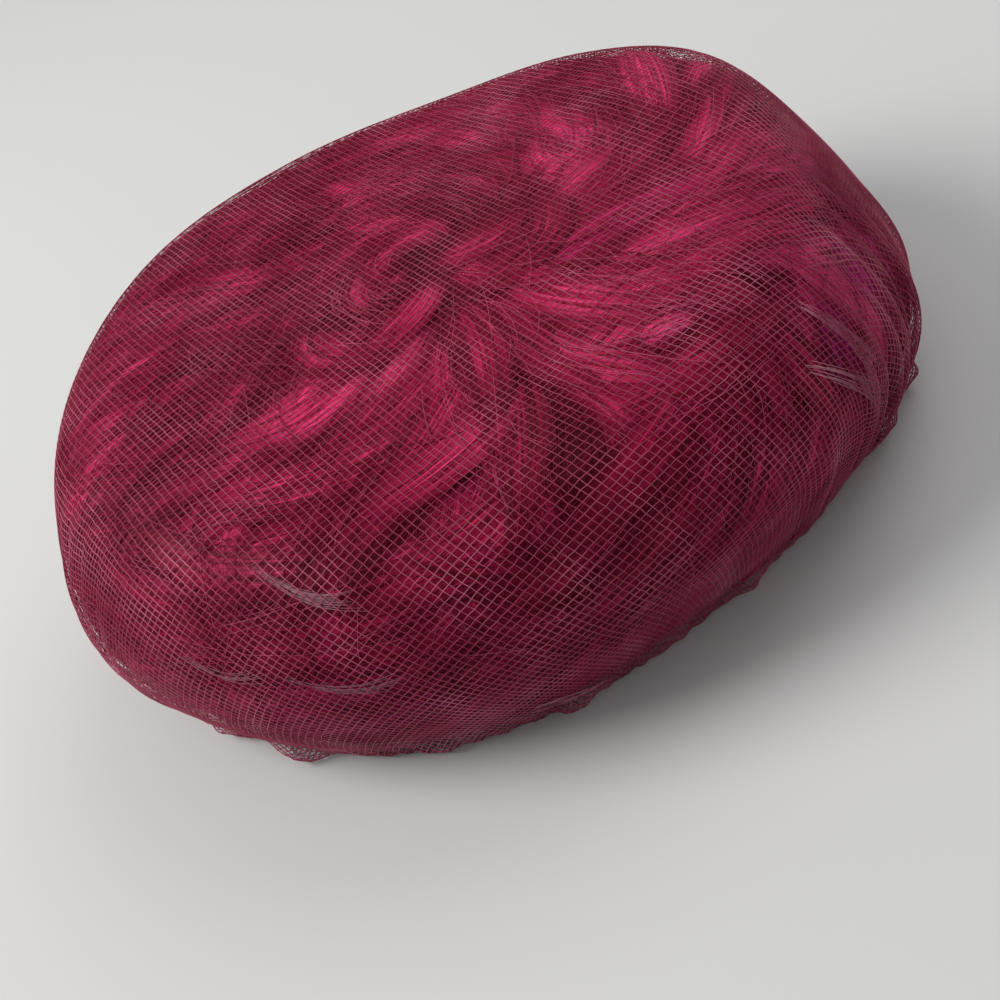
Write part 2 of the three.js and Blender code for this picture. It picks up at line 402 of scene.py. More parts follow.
def makeStudio():
    form = bmesh.new()
    bmesh.ops.create_grid(form, x_segments=1, y_segments=1, size=studio["floorSize"] / 2)
    mesh = bpy.data.meshes.new("floor")
    form.to_mesh(mesh)
    form.free()
    floor = bpy.data.objects.new("floor", mesh)
    bpy.context.scene.collection.objects.link(floor)
    paint = Finish("pale floor")
    paint.set(Base_Color=studio["floorColour"], Roughness=studio["floorRoughness"])
    mesh.materials.append(paint.material)
    world = bpy.data.worlds.new("soft air")
    world.use_nodes = True
    colour, strength = studio["air"]
    world.node_tree.nodes["Background"].inputs["Color"].default_value = (*colour, 1)
    world.node_tree.nodes["Background"].inputs["Strength"].default_value = strength
    bpy.context.scene.world = world
    for place, target, size, power, colour in studio["lamps"]:
        lamp = bpy.data.lights.new("soft lamp", "AREA")
        lamp.shape, lamp.size, lamp.energy, lamp.color = "DISK", size, power, colour
        lampObject = bpy.data.objects.new("soft lamp", lamp)
        lampObject.location = place
        way = Vector(target) - Vector(place)
        lampObject.rotation_euler = way.to_track_quat("-Z", "Y").to_euler()
        bpy.context.scene.collection.objects.link(lampObject)


makeStudio()
print("camera and studio made")


# The net: one round cut of square mesh laid over the crown, its spare cloth gathered where
# the list says, and its edge turned under the rim and up inside.
net = {
    "mesh": 1.8 * mm,
    "threadSide": 0.216 * mm,
    "laidTurn": 5,  # the threads against the hat's axes, in degrees
    "flatOnCrown": 60 * mm,  # no spare cloth is taken in inside this
    "takenIn": 165 * mm,  # all of it is from here out
    "turnedIn": 22 * mm,  # past the rim: under it and up inside
    "underRim": 10.4 * mm,
    "evenShare": 0.76,  # cloth a degree between the gathers, where 1 is laid flat on top
    "steadyTurn": 150,  # the turn that the cloth isn't drawn away from
    # turn, width in degrees, strength
    "gathers": [(92, 26, 1.5), (222, 46, 1.7), (275, 40, 0.5), (335, 70, 0.5), (38, 60, 0.5)],
    "foldWidth": 6.5,  # degrees of cloth
    "foldLift": 1.5 * mm,
    "foldMost": 1.2,  # the gather strength past which the folds stand no higher
    "foldPlaces": (0.75, 0.3),  # on the section: where the folds start, and where they are full
    # turn, from and to on the section, width, lift
    "pleats": [
        (200, -0.2, 0.36, 9, 1.2 * mm),
        (210, -0.1, 0.66, 9, 1.8 * mm),
        (220, -0.2, 0.6, 9, 1.8 * mm),
        (230, -0.1, 0.62, 9, 1.6 * mm),
        (245, -0.2, 0.42, 11, 1.2 * mm),
    ],
    # turn, width in degrees, how far the loop stands out
    "puffs": [
        (101, 13, 2.6 * mm),
        (115, 11, 3.4 * mm),
        (136, 9, 2 * mm),
        (156, 7, 2.2 * mm),
        (188, 8, 1.6 * mm),
        (220, 8, 2.6 * mm),
        (231, 9, 3 * mm),
        (262, 12, 2 * mm),
        (318, 12, 1.8 * mm),
        (38, 13, 2.2 * mm),
    ],
    "puffTop": 9 * mm,  # heights where the loops start to stand out, and where they are full
    "puffFull": 4 * mm,
    "ripples": (24, 0.7 * mm),
    "fineRipples": (97, 0.35 * mm),
    "slack": 0.3 * mm,
    # unevenness: the seed, each thread crossing's jitter, and the slow waves of the threads
    "seed": 7,
    "jitter": 0.085 * mm,
    "drift": 0.35 * mm,
    "waves": 9,
    "waveReach": 0.12 * mm,
    "lowest": 0.16 * mm,  # of the threads above the floor
    "colours": [(0.3, (0.3, 0.03, 0.07)), (0.5, (0.38, 0.06, 0.11)), (0.72, (0.52, 0.14, 0.21))],
    "paleColours": [(0.3, (0.42, 0.12, 0.19)), (0.7, (0.68, 0.36, 0.42))],
    "cloudScale": 60.0,
    "crownPart": 104 * mm,  # cloth from the middle to the edge of the piece on the crown
    "hemPart": 6 * mm,  # cloth above the rim that goes with the hem's piece
}


def gatherStrength(turns):
    return sum(
        strength * swell(turnBetween(at, turns), width) for at, width, strength in net["gathers"]
    )


# Turn on the wall for a turn of the flat cloth, as a table.
def wallTurns():
    turns = np.linspace(0, 360, 721)
    gathered = gatherStrength(turns)
    spare = 1 - net["evenShare"]
    density = net["evenShare"] + gathered * spare / gathered[:-1].mean()
    cloth = np.concatenate([[0], np.cumsum((density[1:] + density[:-1]) / 2 * np.diff(turns))])
    cloth *= 360 / cloth[-1]
    steady = np.interp(net["steadyTurn"], turns, cloth) - net["steadyTurn"]
    return turns, cloth - steady


wallTurnTable, wallClothTable = wallTurns()


# Every crossing of the net's threads on the hat, and the piece that each one belongs to:
# 0 crown, 1 front, 2 back, 3 hem, -1 past the edge of the cut.
def laidNet():
    count = int((longestCloth + net["turnedIn"]) / net["mesh"]) + 2
    steps = np.arange(-count, count + 1) * net["mesh"]
    across, along = np.meshgrid(steps, steps, indexing="ij")
    chance = np.random.default_rng(net["seed"])
    ranges = ((-90, 90), (-90, 90), (0, 6), (0.3, 1))
    draws = [chance.uniform(low, high, net["waves"]) for low, high in ranges]
    wave = sum(np.sin(across * a + along * b + c) * d for a, b, c, d in zip(*draws))
    drift = np.sin(across * 61 + along * 23 + 1) + np.sin(across * -37 + along * 71 + 2)
    laid = np.radians(net["laidTurn"])
    x = across * np.cos(laid) - along * np.sin(laid) + drift * net["drift"]
    x = x + chance.normal(0, net["jitter"], across.shape)
    y = across * np.sin(laid) + along * np.cos(laid) + wave * net["waveReach"]
    y = y + chance.normal(0, net["jitter"], across.shape)
    cloth, flatTurn = np.hypot(x, y), np.degrees(np.arctan2(y, x))
    period = np.floor((flatTurn - wallClothTable[0]) / 360)
    wallTurn = np.interp(flatTurn - period * 360, wallClothTable, wallTurnTable) + period * 360
    share = smoothStep(cloth, net["flatOnCrown"], net["takenIn"])
    turns = flatTurn * (1 - share) + wallTurn * share
    rim = rimOf(turns)
    past = cloth - rim
    places = placeOf(turns, np.minimum(cloth, rim))
    gathered = gatherStrength(turns) * share
    fold = np.abs(np.sin(flatTurn * np.pi / net["foldWidth"])) ** 0.7
    folded = np.minimum(gathered, net["foldMost"]) * smoothStep(places, *net["foldPlaces"])
    depth = net["slack"] * (0.5 + wave / 6) - fold * net["foldLift"] * folded
    for at, low, high, width, lift in net["pleats"]:
        onSection = swell(places - (low + high) / 2, high - low)
        depth = depth - lift * swell(turnBetween(at, turns), width) * onSection
    height = lookUp(heightTable, turns, places)
    loops, loopDepth = net["ripples"]
    fine, fineDepth = net["fineRipples"]
    puff = loopDepth * (0.5 - 0.5 * np.cos(np.radians(turns * loops)))
    puff = puff + fineDepth * np.sin(np.radians(turns * fine) + 2 * np.sin(np.radians(turns * 11)))
    for at, width, reach in net["puffs"]:
        puff = puff + reach * swell(turnBetween(at, turns), width)
    above = smoothStep(-height, -net["puffTop"], -net["puffFull"])
    standing = np.where(past < 0, above, 1 - 0.6 * smoothStep(past, 0, 3 * mm))
    standing = standing * (1 - smoothStep(past, 2 * mm, 9 * mm))
    depth = depth * smoothStep(height, 1 * mm, 8 * mm) - puff * standing
    points = hatPoints(turns, places, depth)
    # under the rim and up inside
    inwards = np.clip(past, 0, net["underRim"])
    upInside = np.maximum(past - net["underRim"], 0)
    insidePlaces = placeOf(turns, rim - upInside)
    insideDepth = inwards + np.where(upInside > 0, 0, -puff * standing)
    turnedUnder = hatPoints(turns, insidePlaces, insideDepth)
    points = np.where((past > 0)[..., None], turnedUnder, points)
    points[..., 2] = np.maximum(points[..., 2], net["lowest"])
    onWall = np.where(points[..., 1] < 0, 1, 2)
    part = np.where(cloth < net["crownPart"], 0, np.where(past > -net["hemPart"], 3, onWall))
    return points, np.where(past < net["turnedIn"], part, -1)


# The threads of one part of the net, as runs of points along both ways of the cloth.
def netThreads(points, parts, part):
    lines = []
    for grid, marks in ((points, parts), (points.transpose(1, 0, 2), parts.T)):
        for row, mark in zip(grid, marks):
            held = (mark[:-1] == part) & (mark[1:] >= 0)
            edges = np.flatnonzero(np.diff(np.concatenate([[0], held.astype(int), [0]])))
            lines += [row[start : end + 1] for start, end in zip(edges[::2], edges[1::2])]
    return lines


# Threads bunched side by side where a pleat is pinched.
creases = {
    # from and to, as turn and place on the section, and how many threads
    "bunches": [
        ((207, 0.5), (214, 0.17), 26),
        ((201, 0.42), (219, 0.03), 26),
        ((150, 0.06), (163, 0.03), 9),
    ],
    "seed": 11,
    "steps": 8,
    "spreadRound": 1.1,  # degrees to either side
    "spreadUp": 0.015,  # the same up the section, and how far a thread bows there
    "bow": 0.012,
    "lift": (0.8 * mm, 0.3 * mm),  # in the middle of a bunch, and how much less at its sides
    "side": 0.6,  # against the net's own thread
}


def creaseLines():
    chance = np.random.default_rng(creases["seed"])
    most, less = creases["lift"]
    lines = []
    for start, end, count in creases["bunches"]:
        for aside, slide, bow in chance.uniform(-1, 1, (count, 3)):
            share = np.clip(np.linspace(0, 1, creases["steps"]) * 0.5 + 0.25 + 0.25 * slide, 0, 1)
            turns = start[0] + turnBetween(start[0], end[0]) * share
            turns = turns + creases["spreadRound"] * aside * (0.2 + share)
            places = start[1] + (end[1] - start[1]) * share + creases["spreadUp"] * aside
            places = places + creases["bow"] * bow * np.sin(np.pi * share * 2)
            lift = (most - less * abs(aside)) * np.sin(np.pi * share) ** 0.5 + 0.1 * mm
            lines.append(hatPoints(turns, places, -lift))
    return lines


def threadFinish(name, colours):
    paint = Finish(name)
    cloud = paint.noise(paint.place(), net["cloudScale"])
    colour = paint.ramp(cloud, colours)
    return paint.set(Base_Color=colour, Roughness=0.6, Specular_IOR_Level=0.2).material


def makeNet():
    points, parts = laidNet()
    thread = threadFinish("fine dusty pink thread", net["colours"])
    made = []
    names = ["net_on_crown", "net_on_front", "net_on_back", "net_gathered_hem"]
    for part, name in enumerate(names):
        lines = netThreads(points, parts, part)
        replaced = ["net_hem"] if part == 3 else ["net_cover"]
        mesh = strandMesh(name, lines, net["threadSide"], capped=False)
        piece = addPiece(name, mesh, [thread], "net", *replaced)
        made.append(piece)
        print(name, len(lines), "threads,", len(mesh.polygons) * 2, "triangles")
    mesh = strandMesh("net_creases", creaseLines(), creases["side"] * net["threadSide"])
    pale = threadFinish("pale bunched thread", net["paleColours"])
    made.append(addPiece("net_creases", mesh, [pale], "net"))
    return made


netPieces = makeNet()


# A bowl-shaped layer under the net: its outer skin lies at a depth, its wall goes inwards.
def makeBowl(layer, material, slot, replaced):
    form = bmesh.new()
    bmesh.ops.create_grid(form, x_segments=layer["sides"], y_segments=layer["rows"], size=0.5)
    flat = np.array([v.co for v in form.verts])
    turns = (flat[:, 0] + 0.5) * 360
    cloth = (flat[:, 1] + 0.5) * (rimOf(turns) - layer["edge"])
    points = hatPoints(turns, placeOf(turns, cloth), np.full(len(turns), layer["depth"]))
    for vert, point in zip(form.verts, points):
        vert.co = point
    bmesh.ops.remove_doubles(form, verts=form.verts, dist=0.05 * mm)
    bmesh.ops.recalc_face_normals(form, faces=form.faces)
    if sum(face.calc_center_median().dot(face.normal) for face in form.faces) < 0:
        bmesh.ops.reverse_faces(form, faces=form.faces)
    for face in form.faces:
        face.smooth = True
    mesh = bpy.data.meshes.new(layer["name"])
    form.to_mesh(mesh)
    form.free()
    piece = addPiece(layer["name"], mesh, [material], slot, replaced)
    wall = piece.modifiers.new("thickness", "SOLIDIFY")
    wall.thickness, wall.offset = layer["thickness"], -1


# The felt crown that carries everything, seen from below.
felt = {
    "name": "felt_crown",
    "depth": 7.1 * mm,
    "thickness": 2 * mm,
    "edge": 1.8 * mm,
    "sides": 144,
    "rows": 36,
    "colours": [(0.3, (0.06, 0.004, 0.016)), (0.7, (0.14, 0.012, 0.036))],
    "fuzz": 900.0,
}


def feltFinish():
    paint = Finish("wine red felt")
    place = paint.place()
    fuzz = paint.noise(place, felt["fuzz"], 4.0, 0.7)
    colour = paint.ramp(paint.noise(place, 35.0, 3.0) * 0.6 + fuzz * 0.4, felt["colours"])
    paint.set(
        Base_Color=colour,
        Roughness=0.95,
        Specular_IOR_Level=0.1,
        Sheen_Weight=0.3,
        Sheen_Tint=(0.6, 0.12, 0.22),
        Normal=paint.bump(fuzz, 0.7, 0.6 * mm),
    )
    return paint.material


makeBowl(felt, feltFinish(), "felt", "crown")
print("felt crown made")


# The down that the feathers lie on.
down = {
    "name": "down",
    "depth": 3.1 * mm,
    "thickness": 3.7 * mm,
    "edge": 1.8 * mm,
    "sides": 180,
    "rows": 48,
    "colours": [
        (0.3, (0.03, 0.0002, 0.003)),
        (0.55, (0.08, 0.0004, 0.009)),
        (0.8, (0.17, 0.001, 0.02)),
    ],
}


def downFinish():
    paint = Finish("dark down")
    tuft = paint.noise(paint.place(), 260.0, 5.0, 0.65)
    paint.set(
        Base_Color=paint.ramp(tuft, down["colours"]),
        Roughness=0.85,
        Specular_IOR_Level=0.1,
        Normal=paint.bump(tuft, 0.8, 0.8 * mm),
    )
    return paint.material


makeBowl(down, downFinish(), "feather", "feather_cover")
print("down made")


# The feathers, in rings from the rim up, each tip lying over the ring below.
feathers = {
    # cloth from the crown's middle to the quill end, how many, length, width
    "rings": [
        (138, 66, 54, 18),
        (120, 72, 64, 18),
        (102, 70, 68, 18),
        (84, 62, 68, 18),
        (66, 56, 66, 18),
        (48, 48, 62, 18),
        (32, 38, 56, 17),
        (18, 26, 50, 16),
        (6, 14, 44, 15),
    ],
    # how far the feathers lean round from straight down, on the crown and on the wall:
    # one row every 30 degrees from the hat's left side towards its back
    "lean": [
        (35, 30),
        (28, 18),
        (10, -10),
        (-10, -55),
        (-30, -80),
        (-40, -78),
        (-5, -60),
        (34, -35),
        (48, -10),
        (58, 15),
        (68, 30),
        (50, 35),
    ],
    "leanSpread": 13,
    "wallStarts": (70 * mm, 115 * mm),
    "curl": (0.15, 0.5),  # how far it turns along its length, in radians: mean and spread
    "depthAtQuill": 3.3 * mm,
    "depthAtTip": 1.6 * mm,
    "rows": 9,
    "columns": 4,
    "domed": 0.5 * mm,  # how much the middle of a feather stands above its edges
    "seed": 23,
    "turnJitter": 0.35,  # against the space between two feathers of a ring
    "startJitter": 7,
    "sizes": (0.85, 1.15),
    "steps": 12,  # points along a centre line
    "lifts": (-0.3, 0.5),
    "markedLift": 0.7 * mm,
    "leastReach": 6 * mm,  # from the hat's axis, where turns are worked out from lengths
    "leastReachAside": 10 * mm,
    "edge": 1.5 * mm,  # cloth left free above the rim
    "flatWithin": 105 * mm,  # marked feathers lie over the flat cloth inside this
    "wallBow": 40 * mm,
}


# A feather's centre line over the hat: turns and lengths of cloth.
def featherLine(turn, cloth, lean, curl, length, steps):
    turns, cloths, leans = [turn], [cloth], [lean]
    step = length / (steps - 1)
    for number in range(steps - 1):
        place = placeOf(np.array([turns[-1]]), np.array([cloths[-1]]))
        reach = lookUp(reachTable, np.array([turns[-1]]), place)[0]
        reach = max(reach, feathers["leastReach"])
        turns.append(turns[-1] + np.degrees(np.sin(leans[-1]) * step / reach))
        cloths.append(cloths[-1] + np.cos(leans[-1]) * step)
        leans.append(lean + curl * (number + 1) / (steps - 1))
    return np.array(turns), np.array(cloths), np.array(leans)


# Points beside a feather's centre line, at shares along it and metres to its side.
def besideLine(line, along, aside, depth):
    steps = np.linspace(0, 1, len(line[0]))
    turns, cloths, leans = (np.interp(along, steps, values) for values in line)
    places = placeOf(turns, cloths)
    reach = np.maximum(lookUp(reachTable, turns, places), feathers["leastReachAside"])
    turns = turns + np.degrees(np.cos(leans) * aside / reach)
    cloths = np.abs(cloths - np.sin(leans) * aside)
    cloths = np.minimum(cloths, rimOf(turns) - feathers["edge"])
    return hatPoints(turns, placeOf(turns, cloths), depth)


def depthAlong(along):
    return feathers["depthAtQuill"] + (feathers["depthAtTip"] - feathers["depthAtQuill"]) * along


def vaneHalfWidth(along, width):
    return width / 2 * np.sin(np.pi * np.clip(along * 0.94 + 0.06, 0, 1) ** 0.75) ** 0.6


# Shade, from the darkest fibres to the palest.
vane = {
    "berry": [
        (0.0, (0.07, 0.0002, 0.005)),
        (0.3, (0.17, 0.0006, 0.017)),
        (0.56, (0.42, 0.004, 0.064)),
        (0.92, (0.86, 0.05, 0.2)),
    ],
    "magenta": [
        (0.0, (0.06, 0.0003, 0.018)),
        (0.3, (0.17, 0.001, 0.055)),
        (0.56, (0.42, 0.005, 0.15)),
        (0.92, (0.72, 0.035, 0.33)),
    ],
}


# Where the cover is darker or brighter: turn, place, radius and how much.
patches = [
    (206, 0.89, 15 * mm, -0.22),
    (158, 0.87, 11 * mm, -0.35),
    (181, 0.88, 10 * mm, -0.3),
    (300, 0.92, 17 * mm, -0.24),
    (341, 0.71, 26 * mm, 0.24),
    (356, 0.79, 22 * mm, 0.2),
    (42, 0.8, 34 * mm, 0.17),
    (76, 0.7, 30 * mm, 0.12),
    (273, 0.81, 20 * mm, 0.2),
    (213, 0.36, 32 * mm, 0.3),
    (255, 0.7, 30 * mm, 0.1),
    (120, 0.45, 40 * mm, -0.12),
]


def patchTint(turn, cloth):
    at = cloth * np.exp(1j * np.radians(turn))
    tint = 0
    for patchTurn, place, radius, change in patches:
        reach = lookUp(clothTable, np.array([patchTurn]), np.array([place]))[0]
        tint += change * swell(abs(at - reach * np.exp(1j * np.radians(patchTurn))), 2 * radius)
    return tint


# A feather's shade and how violet it is: purple-magenta at the front right, with painted shade
# that darkens it low on the near wall and painted light that brightens it on the left and away
# from the near side.
tints = {
    "mean": 0.54,
    "spread": 0.13,
    "evenerNear": 0.06,
    # painted shade: how much darker the feathers are low on the near wall
    "paintedShadeNear": 0.16,
    # painted light: how much brighter they are on the left and away from the near side
    "paintedLight": 0.08,
    "middle": 35 * mm,  # from the quill to where the patches are looked up
    # turn, width in degrees, cloth where the region starts and where it is full
    "nearWall": (158, 180, 66 * mm, 110 * mm),
    # the near side, away from which painted light brightens the crown, and the left, where painted
    # light brightens it
    "nearSide": (165, 170, 10 * mm, 60 * mm),
    "left": (50, 200, 20 * mm, 80 * mm),
    "frontRight": (228, 60, 60 * mm, 110 * mm),
    "violet": 0.75,
    "violetLow": (120 * mm, 150 * mm, 0.35),
}


def inRegion(name, turn, cloth):
    at, width, start, full = tints[name]
    return swell(turnBetween(at, turn), width) * smoothStep(cloth, start, full)


def featherTints(turn, cloth, chance):
    near = inRegion("nearWall", turn, cloth)
    tint = chance.normal(tints["mean"], tints["spread"] - tints["evenerNear"] * near)
    tint += patchTint(turn, cloth + tints["middle"])
    # painted shade on the near wall, where the light falls least
    tint -= tints["paintedShadeNear"] * near
    # painted light away from the near side and on the left, where the light falls
    at, width, start, full = tints["nearSide"]
    away = (1 - swell(turnBetween(at, turn), width)) * smoothStep(cloth, start, full)
    tint += tints["paintedLight"] * away
    tint += tints["paintedLight"] * inRegion("left", turn, cloth)
    low, high, most = tints["violetLow"]
    violet = tints["violet"] * inRegion("frontRight", turn, cloth)
    violet += most * smoothStep(cloth, low, high)
    return float(np.clip(tint, 0.02, 1)), float(np.clip(violet * chance.uniform(0.3, 1), 0, 1))


# Feathers that stand out: quill and tip as turn and place on the section, how far the
# middle bows aside, width in millimetres, shade, and how violet.
marked = [
    ((174, 0.74), (219, 0.55), 0.08, 20, 0.62, 0),
    ((176, 0.66), (211, 0.5), 0.05, 20, 0.5, 0),
    ((184, 0.85), (208, 0.6), 0.05, 16, 0.58, 0),
    ((188, 0.74), (198, 0.66), 0, 11, 1.0, 0.1),
    ((190, 0.88), (232, 0.66), 0.1, 18, 0.6, 0.2),
    ((182, 0.56), (152, 0.33), 0.05, 20, 0.42, 0),
    ((192, 0.5), (166, 0.26), 0.03, 18, 0.4, 0),
    ((168, 0.62), (138, 0.44), 0.08, 20, 0.5, 0),
    ((172, 0.8), (138, 0.6), 0.08, 20, 0.6, 0),
    ((150, 0.8), (112, 0.68), 0.12, 22, 0.62, 0),
    ((112, 0.92), (104, 0.76), 0.3, 27, 0.78, 0),
    ((40, 0.93), (64, 0.78), 0.1, 22, 0.66, 0),
    ((15, 0.93), (42, 0.76), 0.12, 22, 0.7, 0),
    ((318, 0.86), (0, 0.8), 0.25, 22, 0.85, 0),
    ((330, 0.95), (352, 0.84), 0.25, 18, 0.8, 0),
    ((262, 0.8), (300, 0.78), 0.2, 20, 0.74, 0.1),
    ((250, 0.84), (290, 0.84), 0.25, 18, 0.68, 0),
    ((224, 0.52), (222, 0.24), 0.06, 20, 0.55, 1),
    ((212, 0.46), (206, 0.2), 0.05, 16, 0.5, 1),
    ((238, 0.55), (234, 0.3), 0.08, 18, 0.45, 0.8),
    ((150, 0.26), (128, 0.1), 0.05, 18, 0.42, 0.9),
    ((176, 0.2), (160, 0.04), 0.05, 16, 0.42, 0.9),
    ((132, 0.5), (96, 0.5), 0.15, 20, 0.52, 0),
    ((92, 0.72), (84, 0.46), 0.15, 18, 0.7, 0),
    # round the middle of the crown, so that no point shows where all of them start
    ((168, 0.93), (262, 0.9), -0.35, 20, 0.36, 0),
    ((236, 0.93), (330, 0.88), -0.35, 20, 0.42, 0),
    ((310, 0.93), (30, 0.88), -0.35, 20, 0.5, 0),
    ((60, 0.93), (150, 0.88), -0.35, 20, 0.46, 0),
    # long ones that lie round the near left wall
    ((154, 0.42), (106, 0.42), 0.1, 20, 0.4, 0),
    ((160, 0.3), (118, 0.26), 0.05, 19, 0.36, 0.2),
    ((147, 0.53), (100, 0.6), 0.15, 20, 0.46, 0),
    ((128, 0.36), (90, 0.42), 0.12, 19, 0.44, 0),
    ((150, 0.2), (112, 0.13), 0.05, 18, 0.38, 0.6),
    ((198, 0.62), (160, 0.42), 0.05, 20, 0.44, 0),
    ((186, 0.44), (152, 0.2), 0.05, 18, 0.38, 0.1),
]


# A marked feather's centre line: over the flat cloth on the crown, round the hat on the wall.
def markedLine(quill, tip, bow, steps):
    turns = np.array([quill[0], quill[0] + turnBetween(quill[0], tip[0])], float)
    cloths = lookUp(clothTable, turns, np.array([quill[1], tip[1]]))
    share = np.linspace(0, 1, steps)
    if cloths.max() < feathers["flatWithin"]:
        x, y = cloths * np.cos(np.radians(turns)), cloths * np.sin(np.radians(turns))
        aside = bow * np.sin(np.pi * share)
        atX = x[0] + (x[1] - x[0]) * share + (y[0] - y[1]) * aside
        atY = y[0] + (y[1] - y[0]) * share + (x[1] - x[0]) * aside
        lineTurns = np.unwrap(np.arctan2(atY, atX)) * 180 / np.pi
        lineCloths = np.hypot(atX, atY)
    else:
        lineTurns = turns[0] + (turns[1] - turns[0]) * share
        lineCloths = cloths[0] + (cloths[1] - cloths[0]) * share
        lineCloths = lineCloths + bow * feathers["wallBow"] * np.sin(np.pi * share)
    reach = lookUp(reachTable, lineTurns, placeOf(lineTurns, lineCloths))
    reach = np.maximum(reach, feathers["leastReach"])
    leans = np.arctan2(np.radians(np.gradient(lineTurns)) * reach, np.gradient(lineCloths))
    return lineTurns, lineCloths, np.unwrap(leans)


def leanAt(turn, cloth):
    rows = np.array(feathers["lean"] + feathers["lean"][:1])
    rowTurns = np.linspace(0, 360, len(rows))
    crown, wall = (np.interp(turn % 360, rowTurns, column) for column in rows.T)
    share = smoothStep(cloth, *feathers["wallStarts"])
    return crown + (wall - crown) * share


# Every feather: centre line, width, shade, how violet, and how far it is lifted.
def featherPlan():
    chance = np.random.default_rng(feathers["seed"])
    jitter, shift, points = feathers["turnJitter"], feathers["startJitter"], feathers["steps"]
    plan = []
    for cloth, count, length, width in feathers["rings"]:
        for number in range(count):
            turn = (number + chance.uniform(-jitter, jitter)) * 360 / count
            start = (cloth + chance.uniform(-shift, shift)) * mm
            lean = np.radians(leanAt(turn, start) + chance.normal(0, feathers["leanSpread"]))
            curl = chance.normal(*feathers["curl"])
            tint, violet = featherTints(turn, start, chance)
            size = chance.uniform(*feathers["sizes"])
            line = featherLine(turn, max(start, 4 * mm), lean, curl, length * size * mm, points)
            lift = chance.uniform(*feathers["lifts"]) * mm
            plan.append((line, width * size * mm, tint, violet, lift))
    for quill, tip, bow, width, tint, violet in marked:
        line = markedLine(quill, tip, bow, points)
        plan.append((line, width * mm, tint, violet, feathers["markedLift"]))
    return plan


def vaneFinish():
    paint = Finish("dyed feather vanes")
    x, y, _ = paint.parts(paint.node("ShaderNodeUVMap", {"uv_map": "vane"}))
    tint, violet = paint.attribute("tint"), paint.attribute("violet")
    side = (x - 0.5).math("ABSOLUTE") * 2
    fibre = x + (y * 5 + tint * 40).math("SINE") * 0.02
    fine = paint.noise(paint.vector(fibre * 34, y * 1.1, tint * 40), 1.0, 3.0, 0.6)
    tuft = paint.noise(paint.vector(fibre * 7, y * 0.9, tint * 31 + 5), 1.0, 2.0)
    cloud = paint.noise(paint.place(), 28.0, 2.0)
    shade = tint + (fine - 0.5) * 1.9 + (tuft - 0.5) * 0.5 + (cloud - 0.5) * 0.45 - side * 0.06
    berry, magenta = paint.ramp(shade, vane["berry"]), paint.ramp(shade, vane["magenta"])
    colour = paint.mix(violet, berry, magenta)
    tip = (y + (fine - 0.5) * 1.1 + (tuft - 0.5) * 0.6 + (side**2) * 0.2).smooth(0.66, 0.98)
    edge = (side + (fine - 0.5) * 1.0 + (tuft - 0.5) * 0.4).smooth(0.55, 0.98)
    paint.set(
        Base_Color=colour,
        Roughness=0.5,
        Specular_IOR_Level=0.12,
        Alpha=(1 - tip) * (1 - edge) * (y + (fine - 0.5) * 0.3).smooth(0.02, 0.25),
        Normal=paint.bump(fine, 0.6, 0.3 * mm),
    )
    return paint.material


def makeVanes(plan):
    form = bmesh.new()
    uvLayer = form.loops.layers.uv.new("vane")
    tintLayer = form.verts.layers.float.new("tint")
    violetLayer = form.verts.layers.float.new("violet")
    columns, rows = feathers["columns"], feathers["rows"]
    for line, width, tint, violet, lift in plan:
        made = bmesh.ops.create_grid(form, x_segments=columns, y_segments=rows, size=0.5)["verts"]
        flat = np.array([v.co for v in made])
        along, across = flat[:, 1] + 0.5, flat[:, 0] * 2
        depth = depthAlong(along) - feathers["domed"] * (1 - across**2) - lift
        points = besideLine(line, along, across * vaneHalfWidth(along, width), depth)
        for vert, point, u, v in zip(made, points, across, along):
            vert.co = point
            vert[tintLayer], vert[violetLayer] = tint, violet
            for loop in vert.link_loops:
                loop[uvLayer].uv = ((u + 1) / 2, v)
    form.normal_update()
    for face in form.faces:
        face.smooth = True
        if face.calc_center_median().dot(face.normal) < 0:
            face.normal_flip()
    mesh = bpy.data.meshes.new("feather_vanes")
    form.to_mesh(mesh)
    form.free()
    addPiece("feather_vanes", mesh, [vaneFinish()], "feather", "feather_cover")


# Loose barbs: they run along the feather, fan out and fray past its tip.
barbs = {
    "seed": 5,
    "onEach": 21,
    "steps": 5,
    "side": 0.16 * mm,
    "bend": 0.1,
    # shares of the feather's length where they start, their lengths, and how far aside they lie
    "starts": (0.05, 0.6),
    "lengths": (0.4, 0.62),
    "aside": 1.1,
    "fan": 0.22,
    "unevenLift": 0.2 * mm,
    "leastDepth": 0.8 * mm,
    "shade": (-0.05, 0.8),
    # single barbs that lie across the rest: how many, where in millimetres of cloth, spread
    # of the lean in degrees and of the curl in radians, lengths in millimetres
    "stray": 900,
    "strayCloths": (15, 150),
    "strayLean": 35,
    "strayCurl": 1.3,
    "strayLengths": (20, 55),
    # pale frayed tufts: where they start and end, as turn and place, and how many barbs
    "tufts": [
        ((127, 0.56), (141, 0.46), 30),
        ((114, 0.33), (126, 0.31), 14),
        ((128, 0.3), (143, 0.27), 20),
    ],
    "tuftBow": 0.08,
    "tuftSpread": 3.2 * mm,
    # from the darkest to the palest, then the one of the tufts
    "colours": {
        "maroon": (0.09, 0.0003, 0.009),
        "raspberry": (0.24, 0.002, 0.032),
        "pink": (0.5, 0.016, 0.1),
        "pale": (0.72, 0.11, 0.24),
        "bleached": (0.42, 0.2, 0.24),
    },
}


def barbFinish(name, colour):
    paint = Finish(name + " barbs")
    cloud = paint.noise(paint.place(), 80.0)
    darker = tuple(0.6 * part for part in colour)
    paint.set(
        Base_Color=paint.mix(cloud, darker, colour), Roughness=0.5, Specular_IOR_Level=0.15
    )
    return paint.material


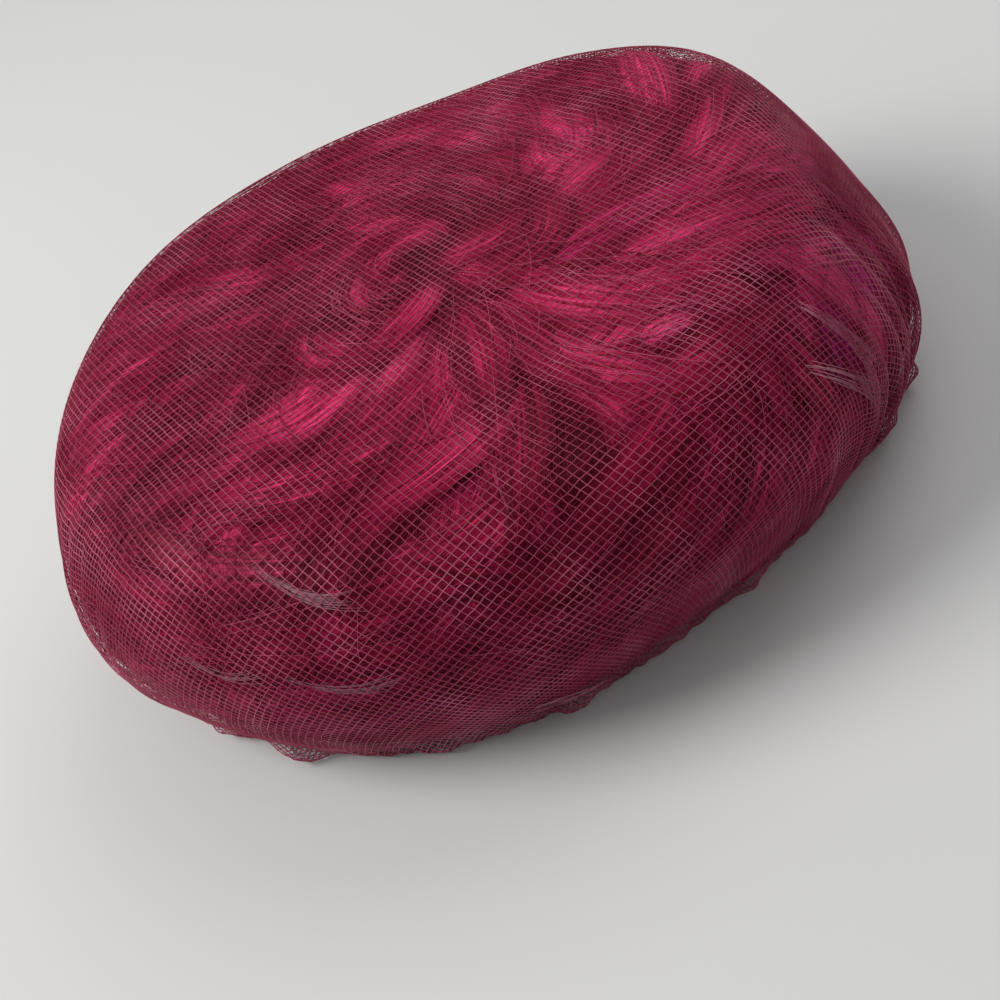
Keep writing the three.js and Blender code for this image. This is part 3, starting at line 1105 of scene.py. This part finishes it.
def makeBarbs(plan):
    chance = np.random.default_rng(barbs["seed"])
    lines, shades = [], []
    steps = np.linspace(0, 1, barbs["steps"] + 1)
    for line, width, tint, _, lift in plan:
        bend = chance.normal(0, barbs["bend"])
        for start in chance.uniform(*barbs["starts"], barbs["onEach"]):
            along = start + chance.uniform(*barbs["lengths"]) * steps
            share = chance.uniform(-barbs["aside"], barbs["aside"])
            aside = share * vaneHalfWidth(np.minimum(along, 0.8), width)
            aside = aside + width * (bend + share * barbs["fan"]) * steps**2.2
            arch = (0.5 + 0.45 * np.sin(np.pi * steps)) * mm
            depth = depthAlong(along) - arch - lift + chance.normal(0, barbs["unevenLift"])
            depth = np.maximum(depth, barbs["leastDepth"])
            lines.append(besideLine(line, np.minimum(along, 1), aside, depth))
            shades.append(int(np.clip(round(tint * 3 + chance.normal(*barbs["shade"])), 0, 3)))
    turns = chance.uniform(0, 360, barbs["stray"])
    cloths = chance.uniform(*barbs["strayCloths"], barbs["stray"]) * mm
    for turn, cloth in zip(turns, cloths):
        lean = np.radians(leanAt(turn, cloth) + chance.normal(0, barbs["strayLean"]))
        curl = chance.normal(0, barbs["strayCurl"])
        length = chance.uniform(*barbs["strayLengths"]) * mm
        line = featherLine(turn, cloth, lean, curl, length, len(steps))
        depth = (1.1 + 0.5 * np.cos(steps * 9 + turn)) * mm
        lines.append(besideLine(line, steps, 0 * steps, depth))
        # painted shade: stray barbs are darker on the near wall
        near = inRegion("nearWall", turn, cloth)
        shades.append(int(chance.integers(1, 4) * (1 - 0.6 * near)))
    for start, end, count in barbs["tufts"]:
        line = markedLine(start, end, barbs["tuftBow"], len(steps))
        for spread in chance.uniform(-1, 1, count):
            along = chance.uniform(0, 0.5) + chance.uniform(0.3, 0.6) * steps
            aside = barbs["tuftSpread"] * spread * (0.3 + 0.7 * along**2)
            depth = (0.5 + 0.25 * abs(spread)) * mm + 0 * steps
            lines.append(besideLine(line, along, aside, depth))
            shades.append(len(barbs["colours"]) - 1)
    thin = 1 - 0.6 * (2 * steps - 1) ** 4
    materials = [barbFinish(*kind) for kind in barbs["colours"].items()]
    half = len(lines) // 2
    for name, low, high in (
        ("feather_barbs_low", 0, half),
        ("feather_barbs_high", half, len(lines)),
    ):
        mesh = strandMesh(name, lines[low:high], barbs["side"], shades[low:high], thin)
        addPiece(name, mesh, materials, "feather")
        print(name, high - low, "barbs,", len(mesh.polygons) * 2, "triangles")


plan = featherPlan()
makeVanes(plan)
makeBarbs(plan)
print("feathers made:", len(plan))
